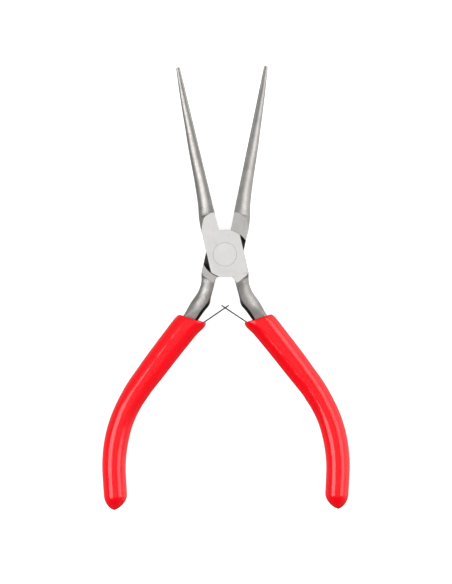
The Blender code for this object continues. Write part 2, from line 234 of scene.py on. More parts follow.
# Rows of sections: the first place, the last place and the spacing. The places are
# degrees in the arcs of the jaw's tip, the plate, the grip's cap and lip and the rivet's
# dome, steps of the table in the shank, and millimetres elsewhere.
TIP_ARC = (86, 8, 8)
JAW_ROW_END = 16
JAW_SPACING = 0.4
JAW_ROOT_ROW = (15.9, 8.0, 0.1)
PLATE_ARC = (1.5, 50.1, 1.0)
HEAD_ROW = (4.6, -4.6, 1.15)
HEAD_LOW_ROW = (-4.65, -7.4, 0.08)
SHANK_ROW = (0, SHANK_END, 0.08)
TANG_SPACING = 1.0
GRIP_SPACING = 0.5
GRIP_CAP_ARC = (86, 4, 3)
GRIP_LIP_ARC = (12, 168, 12)
CAVITY_SPACING = 0.8
FOOT_ROW = (-FOOT_LENGTH, -SPRING_BEND_REACH, 0.6)
SPRING_BEND_ROW = (-1.1, 1.1, 0.1)
LEAF_ROW = (SPRING_BEND_REACH, LEAF_NARROWS_AT, 0.5)
LEAF_END_ROW = (LEAF_NARROWS_AT, LEAF_LENGTH, 0.3)
DOME_ARC = (4, 84, 8)

# Edges are sharp where faces meet at more than this angle.
SHARP = 30
LEVER_SHARP = 28
GRIP_SHARP = 60
SPRING_SHARP = 40
PIVOT_RIVET_SHARP = 25

# A face is ground flat if its normal points up or down by this much and it lies this
# close to the top or the underside. Cut faces, which get painted shade, lie at most this
# far outside the plate, and deeper than this below a flat.
FLAT_UPRIGHT = 0.999
FLAT_TOLERANCE = 0.01
CUT_FACE_REACH = 0.25
CUT_FACE_DEPTH = 0.12
JAW_FACE_FROM_Y = 7.0


# ---------------------------------------------------------------- shape functions


def clamp(value):
    """Keep a value between 0 and 1."""
    return max(0.0, min(1.0, value))


def interpolate(table, at):
    """Read the columns after the first of a table by its first column, smoothly."""
    if at <= table[0][0]:
        return table[0][1:]
    if at >= table[-1][0]:
        return table[-1][1:]
    upper = next(i for i, row in enumerate(table) if row[0] >= at)
    low, high = table[upper - 1], table[upper]
    before = table[max(upper - 2, 0)]
    after = table[min(upper + 1, len(table) - 1)]
    span = high[0] - low[0]
    t = (at - low[0]) / span
    values = []
    for column in range(1, len(low)):
        slope_low = (high[column] - before[column]) / (high[0] - before[0]) * span
        slope_high = (after[column] - low[column]) / (after[0] - low[0]) * span
        values.append(
            (2 * t**3 - 3 * t**2 + 1) * low[column]
            + (t**3 - 2 * t**2 + t) * slope_low
            + (3 * t**2 - 2 * t**3) * high[column]
            + (t**3 - t**2) * slope_high
        )
    return tuple(values)


def steps(start, end, size):
    """Evenly spaced values from start to end, both included, about size apart."""
    count = max(1, round(abs(end - start) / size))
    return [start + (end - start) * i / count for i in range(count + 1)]


def ring(edge_a, edge_b, half_height, corner_a, corner_b, chamfer_a=False):
    """A closed section that stands on the line from edge_a to edge_b in plan.

    Corners are quarters of ellipses given as (along, up), or a chamfer. A corner that
    would rise above the ground faces ends exactly where it meets them.
    """
    start = Vector(edge_a)
    across = Vector(edge_b) - start
    width = across.length
    across.normalize()
    corners = (
        (width - corner_b[0], corner_b, 1, False),
        (corner_a[0], corner_a, 1, chamfer_a),
        (corner_a[0], corner_a, -1, chamfer_a),
        (width - corner_b[0], corner_b, -1, False),
    )
    points = []
    for quarter, (centre, radii, side, chamfer) in enumerate(corners):
        reach = (MIDDLE - (half_height - radii[1])) / radii[1]
        limit = asin(min(1.0, reach)) if reach < 1 else pi / 2
        for step in range(CORNER_STEPS + 1):
            share = step / CORNER_STEPS
            if quarter % 2:
                share = 1 - share
            if chamfer:
                cosine, sine = 1 - share, share
                bulge = CHAMFER_BULGE * sin(share * pi)
                cosine, sine = cosine + bulge, sine + bulge
            else:
                cosine, sine = cos(share * limit), sin(share * limit)
            outward = 1 if quarter in (0, 3) else -1
            along = centre + outward * radii[0] * cosine
            height = half_height - radii[1] + radii[1] * sine
            place = start + across * along
            points.append((place.x, place.y, MIDDLE + side * min(MIDDLE, height)))
    return points


def loft(rings):
    """Skin a row of rings with the same number of points, and close its ends."""
    built = bmesh.new()
    rows = [[built.verts.new(point) for point in points] for points in rings]
    for row, following in zip(rows, rows[1:]):
        for i in range(len(row)):
            j = (i + 1) % len(row)
            built.faces.new((row[i], row[j], following[j], following[i]))
    built.faces.new(rows[0])
    built.faces.new(rows[-1])
    bmesh.ops.remove_doubles(built, verts=built.verts, dist=WELD)
    return built


def turned(profile):
    """A closed solid of revolution about Z from (radius, height) pairs."""
    rings = []
    for radius, height in profile:
        angles = [2 * pi * step / ROUND_STEPS for step in range(ROUND_STEPS)]
        rings.append([(radius * cos(a), radius * sin(a), height) for a in angles])
    return loft(rings)


def handle_place(distance, offset):
    """The plan point at a distance along the handle line and an offset out from it."""
    angle = radians(HANDLE_ANGLE)
    x, y = HANDLE_START
    straight = min(distance, HANDLE_STRAIGHT)
    x += straight * sin(angle)
    y -= straight * cos(angle)
    full_bend = HANDLE_BEND_RADIUS * radians(HANDLE_BEND)
    bent = max(0.0, min(distance - HANDLE_STRAIGHT, full_bend))
    now = angle - bent / HANDLE_BEND_RADIUS
    x += HANDLE_BEND_RADIUS * (cos(now) - cos(angle))
    y += HANDLE_BEND_RADIUS * (sin(now) - sin(angle))
    rest = max(0.0, distance - HANDLE_STRAIGHT - bent)
    x += rest * sin(now)
    y -= rest * cos(now)
    return x + offset * cos(now), y + offset * sin(now)


# ---------------------------------------------------------------- making objects


def side_matrix(turned_over):
    """Where one side's plan lies at rest in the row frame."""
    if not turned_over:
        return Matrix.Rotation(radians(HALF_OPENING), 4, "Z")
    lift = Matrix.Translation((0, 0, THICKNESS * MM))
    swing = Matrix.Rotation(-radians(HALF_OPENING), 4, "Z")
    return lift @ swing @ Matrix.Rotation(pi, 4, "Y")


def make_piece(name, built, materials, matrix, sharp=SHARP):
    """Turn a bmesh built in millimetres into a named, smooth shaded object in metres."""
    bmesh.ops.recalc_face_normals(built, faces=built.faces)
    bmesh.ops.scale(built, vec=(MM, MM, MM), verts=built.verts)
    mesh = bpy.data.meshes.new(name)
    built.to_mesh(mesh)
    built.free()
    for material in materials:
        mesh.materials.append(material)
    mesh.shade_smooth()
    mesh.set_sharp_from_angle(angle=radians(sharp))
    made = bpy.data.objects.new(name, mesh)
    made.matrix_world = matrix
    bpy.context.scene.collection.objects.link(made)
    return made


def bake_modifiers(made):
    """Replace an object's mesh with the result of its modifiers."""
    bpy.context.view_layer.update()
    graph = bpy.context.evaluated_depsgraph_get()
    result = bpy.data.meshes.new_from_object(made.evaluated_get(graph))
    made.modifiers.clear()
    made.data = result


def cut_away(made, *tools):
    """Cut solids away from an object for good, and weld the points this leaves close."""
    for tool in tools:
        cutter = make_piece(made.name + "_cutter", tool, [], made.matrix_world)
        modifier = made.modifiers.new("cut", "BOOLEAN")
        modifier.operation = "DIFFERENCE"
        modifier.solver = "EXACT"
        modifier.object = cutter
        bake_modifiers(made)
        bpy.data.objects.remove(cutter, do_unlink=True)
    built = bmesh.new()
    built.from_mesh(made.data)
    bmesh.ops.remove_doubles(built, verts=built.verts, dist=WELD * MM)
    bmesh.ops.dissolve_degenerate(built, edges=built.edges, dist=WELD * MM)
    built.to_mesh(made.data)
    built.free()


def settle(made):
    """Move a piece's place into its mesh, and note each point's place in its plan."""
    plan = [value / MM for vertex in made.data.vertices for value in vertex.co]
    noted = made.data.attributes.new("plan", "FLOAT_VECTOR", "POINT")
    noted.data.foreach_set("vector", plan)
    made.data.transform(made.matrix_world)
    made.matrix_world = Matrix.Identity(4)


def finish_piece(made, slot, body, *nodes):
    """Settle a piece, hide the nodes it replaces and hang it on the body it rides on. The
    slot is not used.
    """
    settle(made)
    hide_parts(*nodes)
    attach(made, body)


# ---------------------------------------------------------------- materials


class Look:
    """A small helper that writes a Principled material's node tree."""

    def __init__(self, name, colour, roughness, metallic):
        self.material = bpy.data.materials.new(name)
        self.material.use_nodes = True
        self.tree = self.material.node_tree
        self.shader = self.tree.nodes["Principled BSDF"]
        self.shader.inputs["Base Color"].default_value = (*colour, 1.0)
        self.shader.inputs["Roughness"].default_value = roughness
        self.shader.inputs["Metallic"].default_value = metallic
        self.material.diffuse_color = (*colour, 1.0)
        place = self.tree.nodes.new("ShaderNodeAttribute")
        place.attribute_name = "plan"
        self.place = place.outputs["Vector"]

    def link(self, output, target):
        """Link one node's output to another's input."""
        self.tree.links.new(output, target)

    def noise(self, per_mm, detail=3.0, distortion=0.0):
        """Noise with this many cells a millimetre along each axis of the plan."""
        mapping = self.tree.nodes.new("ShaderNodeMapping")
        mapping.inputs["Scale"].default_value = per_mm
        self.link(self.place, mapping.inputs["Vector"])
        texture = self.tree.nodes.new("ShaderNodeTexNoise")
        texture.inputs["Scale"].default_value = 1.0
        texture.inputs["Detail"].default_value = detail
        texture.inputs["Distortion"].default_value = distortion
        self.link(mapping.outputs["Vector"], texture.inputs["Vector"])
        return texture.outputs["Fac"]

    def spread(self, value, low, high, to_low, to_high):
        """Map a value from one range to another, and stop at its ends."""
        node = self.tree.nodes.new("ShaderNodeMapRange")
        for socket, number in (
            ("From Min", low),
            ("From Max", high),
            ("To Min", to_low),
            ("To Max", to_high),
        ):
            node.inputs[socket].default_value = number
        self.link(value, node.inputs["Value"])
        return node.outputs["Result"]

    def math(self, operation, first, second):
        """Work on two values, each a number or another node's output."""
        node = self.tree.nodes.new("ShaderNodeMath")
        node.operation = operation
        for socket, value in zip(node.inputs, (first, second)):
            if isinstance(value, float):
                socket.default_value = value
            else:
                self.link(value, socket)
        return node.outputs["Value"]

    def mix(self, factor, first, second):
        """Mix two colours, each a tuple or another node's output."""
        node = self.tree.nodes.new("ShaderNodeMix")
        node.data_type = "RGBA"
        self.link(factor, node.inputs["Factor"])
        for socket, value in ((node.inputs["A"], first), (node.inputs["B"], second)):
            if isinstance(value, tuple):
                socket.default_value = (*value, 1.0)
            else:
                self.link(value, socket)
        return node.outputs["Result"]

    def bump(self, height, depth_mm, strength=1.0):
        """Let a height between 0 and 1 stand out by a depth."""
        node = self.tree.nodes.new("ShaderNodeBump")
        node.inputs["Strength"].default_value = strength
        node.inputs["Distance"].default_value = depth_mm * MM
        self.link(height, node.inputs["Height"])
        self.link(node.outputs["Normal"], self.shader.inputs["Normal"])


# Steel: the coarse grain's share and the fine grain's, how much finer that one is, and
# the ranges of grain and stain that the tones and the roughness are spread over.
GRAIN_SHARES = (0.6, 0.4)
FINE_GRAIN = 2.3
GRAIN_TONES = (0.36, 0.64)
GRAIN_ROUGHNESS = (0.3, 0.7)
ROUGHNESS_SPREAD = (1.25, 0.8)
STAIN_CELLS = (0.22, 0.22, 0.22)
STAIN_WARP = 0.6
STAIN_TONES = (0.42, 0.66)


def ground_steel(name, light, dark, roughness, lines, stains, depth_mm, metallic=1.0):
    """Steel with grinding lines and soft stains.

    lines is the grain in cells a millimetre along each axis of the plan.
    """
    look = Look(name, light, roughness, metallic)
    coarse = look.noise(lines, 4.0)
    fine = look.noise([FINE_GRAIN * value for value in lines], 2.0)
    stain = look.noise(STAIN_CELLS, 4.0, STAIN_WARP)
    coarse_part = look.math("MULTIPLY", coarse, GRAIN_SHARES[0])
    fine_part = look.math("MULTIPLY", fine, GRAIN_SHARES[1])
    grain = look.math("ADD", coarse_part, fine_part)
    tone = look.spread(grain, *GRAIN_TONES, 0.0, 1.0)
    shade = look.spread(stain, *STAIN_TONES, 0.0, stains)
    middle = tuple(0.5 * (a + b) for a, b in zip(light, dark))
    streaked = look.mix(tone, middle, light)
    look.link(look.mix(shade, streaked, dark), look.shader.inputs["Base Color"])
    rougher, smoother = (roughness * factor for factor in ROUGHNESS_SPREAD)
    rough = look.spread(grain, *GRAIN_ROUGHNESS, rougher, smoother)
    look.link(rough, look.shader.inputs["Roughness"])
    look.bump(grain, depth_mm)
    return look.material


# Vinyl: cells a millimetre of its clouds, orange peel, slow swell and dust, and how far
# the clouds and the dust change its tone and its gloss.
CLOUD_CELLS = (0.10, 0.10, 0.10)
CLOUD_WARP = 0.4
CLOUD_TONES = (0.38, 0.62)
CLOUD_ROUGHNESS = (0.35, 0.65)
CLOUD_ROUGHNESS_SPREAD = (0.85, 1.2)
PEEL_CELLS = (0.9, 0.9, 0.9)
PEEL_SHARE = 0.05
SLOW_CELLS = (0.16, 0.16, 0.16)
DUST_CELLS = (3.0, 3.0, 3.0)
DUST_RANGE = (0.55, 0.8)
DUST_ROUGHNESS = 0.10
VINYL_DEPTH = 0.30
VINYL_BUMP = 0.5
VINYL_SPECULAR = 0.52


def dipped_vinyl(name, red, deep, roughness):
    """Glossy vinyl with soft clouds, an uneven skin and a little dust."""
    look = Look(name, red, roughness, 0.0)
    cloud = look.noise(CLOUD_CELLS, 2.0, CLOUD_WARP)
    peel = look.noise(PEEL_CELLS, 2.0)
    slow = look.noise(SLOW_CELLS, 1.0)
    dust = look.noise(DUST_CELLS, 3.0)
    deeper = look.spread(cloud, *CLOUD_TONES, 0.0, 1.0)
    look.link(look.mix(deeper, red, deep), look.shader.inputs["Base Color"])
    smoother, rougher = (roughness * factor for factor in CLOUD_ROUGHNESS_SPREAD)
    clouded = look.spread(cloud, *CLOUD_ROUGHNESS, smoother, rougher)
    dusty = look.spread(dust, *DUST_RANGE, 0.0, DUST_ROUGHNESS)
    look.link(look.math("ADD", clouded, dusty), look.shader.inputs["Roughness"])
    height = look.math("ADD", look.math("MULTIPLY", peel, PEEL_SHARE), slow)
    look.bump(height, VINYL_DEPTH, VINYL_BUMP)
    look.shader.inputs["Specular IOR Level"].default_value = VINYL_SPECULAR
    return look.material


FLAT_LINES = (9.0, 0.35, 1.5)
JAW_LINES = (0.5, 7.0, 0.5)
SHANK_LINES = (2.6, 1.1, 2.6)
RIVET_LINES = (5.0, 0.8, 1.5)
SPRING_LINES = (0.8, 0.8, 4.0)
upper_flat = ground_steel(
    "upper_flat_steel",
    light=(0.86, 0.84, 0.825),
    dark=(0.72, 0.70, 0.685),
    roughness=0.50,
    lines=FLAT_LINES,
    stains=0.45,
    depth_mm=0.006,
    metallic=0.64,
)
# Painted shade: the lower lever's flats face the same way as the upper lever's and are the
# same ground steel, painted darker.
lower_flat_shaded = ground_steel(
    "lower_flat_shaded_steel",
    light=(0.64, 0.62, 0.605),
    dark=(0.51, 0.49, 0.475),
    roughness=0.50,
    lines=FLAT_LINES,
    stains=0.5,
    depth_mm=0.006,
    metallic=0.70,
)
jaw_steel = ground_steel(
    "jaw_steel",
    light=(0.49, 0.47, 0.45),
    dark=(0.32, 0.305, 0.29),
    roughness=0.40,
    lines=JAW_LINES,
    stains=0.55,
    depth_mm=0.008,
    metallic=0.84,
)
shank_steel = ground_steel(
    "shank_steel",
    light=(0.455, 0.437, 0.42),
    dark=(0.28, 0.265, 0.25),
    roughness=0.43,
    lines=SHANK_LINES,
    stains=0.7,
    depth_mm=0.03,
    metallic=0.76,
)
# Painted shade: a near black copy of the steel for the cut faces down in the lap joint and
# the rivet holes.
painted_shade_steel = ground_steel(
    "painted_shade_steel",
    light=(0.13, 0.125, 0.12),
    dark=(0.07, 0.065, 0.06),
    roughness=0.5,
    lines=JAW_LINES,
    stains=0.5,
    depth_mm=0.01,
)
rivet_face = ground_steel(
    "rivet_steel_look",
    light=(0.875, 0.86, 0.845),
    dark=(0.76, 0.74, 0.725),
    roughness=0.49,
    lines=RIVET_LINES,
    stains=0.4,
    depth_mm=0.005,
    metallic=0.64,
)
spring_look = ground_steel(
    "spring_steel_look",
    light=(0.27, 0.26, 0.25),
    dark=(0.16, 0.15, 0.145),
    roughness=0.32,
    lines=SPRING_LINES,
    stains=0.5,
    depth_mm=0.004,
)
vinyl = dipped_vinyl("red_vinyl_look", (0.82, 0.0035, 0.010), (0.76, 0.002, 0.007), 0.15)

STEELS = (upper_flat, lower_flat_shaded, jaw_steel, shank_steel, painted_shade_steel)
UPPER_FLAT, LOWER_FLAT_SHADED, JAW_FACE, SHANK_FACE, PAINTED_SHADE_FACE = range(len(STEELS))


# ---------------------------------------------------------------- levers


def jaw_ring(y, shrink=1.0):
    """A jaw's section: square at the root, and rounder inside towards the tip."""
    width, half_height = interpolate(JAW, y)
    share = clamp((y - JAW_ROUND_FROM_Y) / (JAW_TIP_Y - JAW_ROUND_FROM_Y))
    root = clamp(1 - (y - JAW_ROUND_FROM_Y) / JAW_ROOT_LENGTH)
    base = clamp((JAW_ROUND_FROM_Y - y) / (JAW_ROUND_FROM_Y - JAW_SQUARE_AT_Y))
    inner = (
        width * (JAW_INNER_CORNER[0] + JAW_CORNER_SHIFT * share * share),
        half_height * (JAW_INNER_CORNER[1] + JAW_INNER_RISE * share),
    )
    outer = (
        width * (JAW_OUTER_CORNER[0] - JAW_CORNER_SHIFT * share * share),
        half_height * (JAW_OUTER_CORNER[1] - JAW_ROOT_SQUARER * root),
    )
    inner = tuple((value * (1 - base) + HEAD_CORNER * base) * shrink for value in inner)
    outer = tuple((value * (1 - base) + HEAD_CORNER * base) * shrink for value in outer)
    half_height = half_height * (1 - base) + MIDDLE * base
    middle = JAW_INNER_X - width / 2
    half = width / 2 * shrink
    return ring((middle - half, y), (middle + half, y), half_height * shrink, outer, inner)


def head_edges(y):
    """The left and right edge of the head's strip at one height in plan."""
    right = HEAD_RIGHT_X
    if y > 0:
        right = min(right, sqrt(max(PLATE_RADIUS**2 - y**2, JAW_INNER_X**2)))
    left = HEAD_LEFT_X
    if y < 0:
        arc = -sqrt(max(PLATE_LOW_RADIUS**2 - y**2, 0.0))
        swing = radians(HALF_OPENING)
        chord = -(PLATE_LOW_CHORD + y * cos(swing)) / sin(swing)
        left = max(left, arc, chord)
    return left, right


def head_ring(y):
    """A section of the head's strip, square and as thick as the tool."""
    left, right = head_edges(y)
    corner = (HEAD_CORNER, HEAD_CORNER)
    return ring((left, y), (right, y), MIDDLE, corner, corner)


def shank_ring(step):
    """A section of the shank, which turns from the head's strip to the tang."""
    tang_in = handle_place(0, TANG[0][1] - TANG[0][2])
    tang_out = handle_place(0, TANG[0][1] + TANG[0][2])
    last = (SHANK_END, *tang_in, *tang_out, TANG[0][3], *TANG_CORNER, *TANG_CORNER)
    values = interpolate((*SHANK, last), step)
    return ring(values[0:2], values[2:4], values[4], values[5:7], values[7:9], True)


def lean_jaw(rings, lean):
    """Turn the jaw's sections about the pivot, less and less towards its root."""
    span = JAW_LEANS_FULLY_AT_Y - JAW_LEANS_FROM_Y
    leaned = []
    for points in rings:
        share = clamp((points[0][1] - JAW_LEANS_FROM_Y) / span)
        angle = radians(lean) * share * share * (3 - 2 * share)
        c, s = cos(angle), sin(angle)
        leaned.append([(x * c - y * s, x * s + y * c, z) for x, y, z in points])
    return leaned


def lever_rings(lean):
    """Every section of the forging, from the jaw's tip to the end of the tang."""
    rings = []
    round_from = JAW_TIP_Y - JAW_TIP_ROUND
    for angle in steps(*TIP_ARC):
        y = round_from + JAW_TIP_ROUND * sin(radians(angle))
        share = JAW_TIP_FLAT + (1 - JAW_TIP_FLAT) * cos(radians(angle))
        rings.append(jaw_ring(y, share))
    rings += [jaw_ring(y) for y in steps(round_from, JAW_ROW_END, JAW_SPACING)]
    rings += [jaw_ring(y) for y in steps(*JAW_ROOT_ROW)]
    rings = lean_jaw(rings, lean)
    rings += [head_ring(PLATE_RADIUS * cos(radians(a))) for a in steps(*PLATE_ARC)]
    rings += [head_ring(y) for y in steps(*HEAD_ROW)]
    rings += [head_ring(y) for y in steps(*HEAD_LOW_ROW)]
    rings += [shank_ring(step) for step in steps(*SHANK_ROW)[:-1]]
    for distance in steps(0, TANG[-1][0], TANG_SPACING):
        middle, half_width, half_height = interpolate(TANG, distance)
        inner = handle_place(distance, middle - half_width)
        outer = handle_place(distance, middle + half_width)
        rings.append(ring(inner, outer, half_height, TANG_CORNER, TANG_CORNER))
    return rings


def rivet_profile(growth, reach, edge):
    """The pivot rivet's outline, or, grown and lengthened, the hole that it fills."""
    shaft = RIVET_SHAFT_RADIUS + growth
    head = RIVET_HEAD_RADIUS + growth
    half = [
        (head - edge, reach),
        (head, MIDDLE - edge),
        (head, MIDDLE - RIVET_HEAD_RIM),
        (shaft, MIDDLE - RIVET_HEAD_DEPTH),
    ]
    profile = [(r, MIDDLE + h) for r, h in half]
    return profile + [(r, MIDDLE - h) for r, h in reversed(half)]


def hole_in_tang(radius, bottom):
    """The hole for a spring's rivet, placed in plan."""
    hole = turned([(radius, HOLE_TOP), (radius, bottom)])
    bmesh.ops.transform(hole, matrix=on_tang(), verts=hole.verts)
    return hole


def on_tang():
    """A turned piece's place on the tang's inner side, its axis out of the tang."""
    middle, half_width, _ = interpolate(TANG, RIVET_S)
    x, y = handle_place(RIVET_S, middle - half_width)
    lean = Matrix.Rotation(radians(HANDLE_ANGLE - 90), 4, "Z")
    return Matrix.Translation((x, y, MIDDLE)) @ lean @ Matrix.Rotation(pi / 2, 4, "X")


def lap_room():
    """The room that the other lever's plate turns in: wide above, narrower below."""
    outline = []
    for step in range(2 * ROUND_STEPS):
        angle = pi * step / ROUND_STEPS
        upward = clamp(0.5 + sin(angle) * LAP_STEEPNESS)
        radius = LAP_LOW_RADIUS + (LAP_HIGH_RADIUS - LAP_LOW_RADIUS) * upward
        outline.append((radius * cos(angle), radius * sin(angle)))
    top = MIDDLE + LAP_GAP / 2
    return loft([[(x, y, z) for x, y in outline] for z in (top, LAP_CUT_TO_Z)])


def paint_lever(lever, flat_index):
    """Give each face the finish of its place: ground flat, jaw or shank, and painted shade on
    the cut faces.
    """
    mesh = lever.data
    for face in mesh.polygons:
        x, y, z = (value / MM for value in face.center)
        upright = abs(face.normal.z) > FLAT_UPRIGHT
        under_flat = MIDDLE - abs(z - MIDDLE)
        if upright and abs(under_flat) < FLAT_TOLERANCE:
            face.material_index = flat_index
        elif hypot(x, y) < PLATE_RADIUS + CUT_FACE_REACH and under_flat > CUT_FACE_DEPTH:
            # Painted shade on the cut faces in the lap joint and the rivet hole.
            face.material_index = PAINTED_SHADE_FACE
        elif y > JAW_FACE_FROM_Y:
            face.material_index = JAW_FACE
        else:
            face.material_index = SHANK_FACE
    built = bmesh.new()
    built.from_mesh(mesh)
    for edge in built.edges:
        pair = {face.material_index for face in edge.link_faces}
        if flat_index in pair and len(pair) > 1:
            edge.smooth = False
    built.to_mesh(mesh)
    built.free()


def note_painted_shade(lever):
    """Note at each point how much painted shade it gets on the shank's inward faces."""
    inward = Vector((-cos(radians(HANDLE_ANGLE)), -sin(radians(HANDLE_ANGLE)), 0))
    values = []
    for vertex in lever.data.vertices:
        below = (vertex.co.y / MM - SHADE_FROM_Y[0]) / (SHADE_FROM_Y[1] - SHADE_FROM_Y[0])
        facing = vertex.normal.dot(inward) - SHADE_FACES_IN[0]
        facing /= SHADE_FACES_IN[1] - SHADE_FACES_IN[0]
        values.append(clamp(below) * clamp(facing))
    # The attribute named scale holds how much painted shade a point gets.
    noted = lever.data.attributes.new("scale", "FLOAT", "POINT")
    noted.data.foreach_set("value", values)


def add_painted_shade(material):
    """Darken a steel with painted shade where its piece notes it."""
    tree = material.node_tree
    shader = tree.nodes["Principled BSDF"]
    bare = shader.inputs["Base Color"].links[0].from_socket
    # Read the painted shade, noted in the attribute named scale.
    noted = tree.nodes.new("ShaderNodeAttribute")
    noted.attribute_name = "scale"
    mix = tree.nodes.new("ShaderNodeMix")
    mix.data_type = "RGBA"
    tree.links.new(noted.outputs["Fac"], mix.inputs["Factor"])
    tree.links.new(bare, mix.inputs["A"])
    mix.inputs["B"].default_value = (*PAINTED_SHADE_COLOUR, 1.0)
    tree.links.new(mix.outputs["Result"], shader.inputs["Base Color"])


def make_lever(name, body, turned_over, flat_index):
    """One forging with its half of the lap joint, its rivet holes and its finishes."""
    forging = loft(lever_rings(-JAW_LEAN if turned_over else JAW_LEAN))
    lever = make_piece(name + "_forged", forging, STEELS, side_matrix(turned_over))
    pivot_hole = turned(rivet_profile(RIVET_GAP, MIDDLE + RIVET_HOLE_SPARE, 0.0))
    rivet_hole = hole_in_tang(TANG_HOLE_RADIUS, -SPRING_RIVET_DEPTH - TANG_HOLE_SPARE_DEPTH)
    cut_away(lever, lap_room(), pivot_hole, rivet_hole)
    lever.data.shade_smooth()
    lever.data.set_sharp_from_angle(angle=radians(LEVER_SHARP))
    paint_lever(lever, flat_index)
    note_painted_shade(lever)
    finish_piece(lever, "ground_steel", body, name)


# ---------------------------------------------------------------- grips


def mouth_lean(distance):
    """How far sections slant, in radians: fully at the grip's mouth, then less."""
    fade = max(0.0, 1 - (distance - GRIP[0][0]) / GRIP_SLANT_FADES_IN)
    return radians(GRIP_MOUTH_SLANT) * fade


def grip_ring(distance, end_reach=0.0):
    """A grip's outer section. Near the mouth it slants, and past the end it rounds."""
    inner, outer = interpolate(GRIP, distance)
    shrink = (1 - end_reach**2) ** GRIP_END_POINT
    shift = GRIP_END_SHIFT * end_reach**2
    past = GRIP_END_REACH * end_reach
    lean = mouth_lean(distance)
    edge_in = handle_place(distance + past - inner * sin(lean), shift - inner * shrink)
    edge_out = handle_place(distance + past + outer * sin(lean), shift + outer * shrink)
    half_height = MIDDLE * (1 - end_reach**2) ** GRIP_END_ROUND
    corner = ((inner + outer) * shrink * GRIP_CORNER[0], half_height * GRIP_CORNER[1])
    return ring(edge_in, edge_out, half_height, corner, corner)


def cavity_ring(distance):
    """The inside of the sleeve: close round the tang, and wider where the leaf swings."""
    middle, half_width, half_height = interpolate(TANG, max(0.0, distance))
    inner = interpolate(CAVITY_INNER, distance)[0]
    lean = mouth_lean(distance)
    outer = middle + half_width + WALL_GAP
    edge_in = handle_place(distance - inner * sin(lean), -inner)
    edge_out = handle_place(distance + outer * sin(lean), outer)
    return ring(edge_in, edge_out, half_height + WALL_GAP, TANG_CORNER, TANG_CORNER)


def grip_wobble(x, y, z, dents):
    """How far the dipped skin stands out or in at a point, in millimetres."""
    swell = noise.noise(Vector((x, y, z)) * SWELL_CELLS)
    ripple = noise.noise(Vector((x, y, z)) * RIPPLE_CELLS + Vector(RIPPLE_SHIFT))
    height = SWELL_HEIGHT * swell + RIPPLE_HEIGHT * ripple
    for dent_x, dent_y, radius, depth in dents:
        away = hypot(x - dent_x, y - dent_y) / radius
        height -= depth * exp(-away * away)
    return height


def make_grip(name, body, turned_over, dents):
    """A hollow sleeve: round end, outside, rolled lip and the cavity for tang and leaf."""
    lip_at = GRIP[0][0] + LIP_DEPTH
    outside = [grip_ring(distance) for distance in steps(GRIP_LENGTH, lip_at, GRIP_SPACING)]
    cap = [grip_ring(GRIP_LENGTH, sin(radians(a))) for a in steps(*GRIP_CAP_ARC)]
    mouth_out = grip_ring(lip_at)
    mouth_in = cavity_ring(lip_at)
    lip = []
    turn = radians(HANDLE_ANGLE)
    for angle in steps(*GRIP_LIP_ARC):
        share = 0.5 - 0.5 * cos(radians(angle))
        back = LIP_DEPTH * sin(radians(angle))
        shift = Vector((-sin(turn) * back, cos(turn) * back, 0))
        pairs = zip(mouth_out, mouth_in)
        lip.append([Vector(a).lerp(Vector(b), share) + shift for a, b in pairs])
    inside = [cavity_ring(distance) for distance in steps(lip_at, CAVITY_END, CAVITY_SPACING)]
    built = loft(cap + outside + lip + inside)
    built.normal_update()
    bmesh.ops.recalc_face_normals(built, faces=built.faces)
    for vertex in built.verts:
        vertex.co += vertex.normal * grip_wobble(*vertex.co, dents)
    grip = make_piece(name + "_dipped", built, [vinyl], side_matrix(turned_over), GRIP_SHARP)
    finish_piece(grip, "red_vinyl", body, name)


# ---------------------------------------------------------------- springs and rivets


def spring_place(distance):
    """Plan point and direction on a spring's centre line; the bend is at 0."""
    bend = Vector(handle_place(SPRING_BEND_S, SPRING_BEND_D))
    leaf = radians(LEAF_ANGLE)
    handle = radians(HANDLE_ANGLE)
    out = Vector((-sin(leaf), cos(leaf)))
    back = Vector((-sin(handle), cos(handle)))
    reach = SPRING_BEND_REACH
    if distance >= reach:
        return bend + out * distance, out
    if distance <= -reach:
        return bend + back * distance, back
    t = (distance + reach) / (2 * reach)
    point = bend - back * reach * (1 - t) ** 2 + out * reach * t**2
    heading = back.lerp(out, t).normalized()
    return point, heading


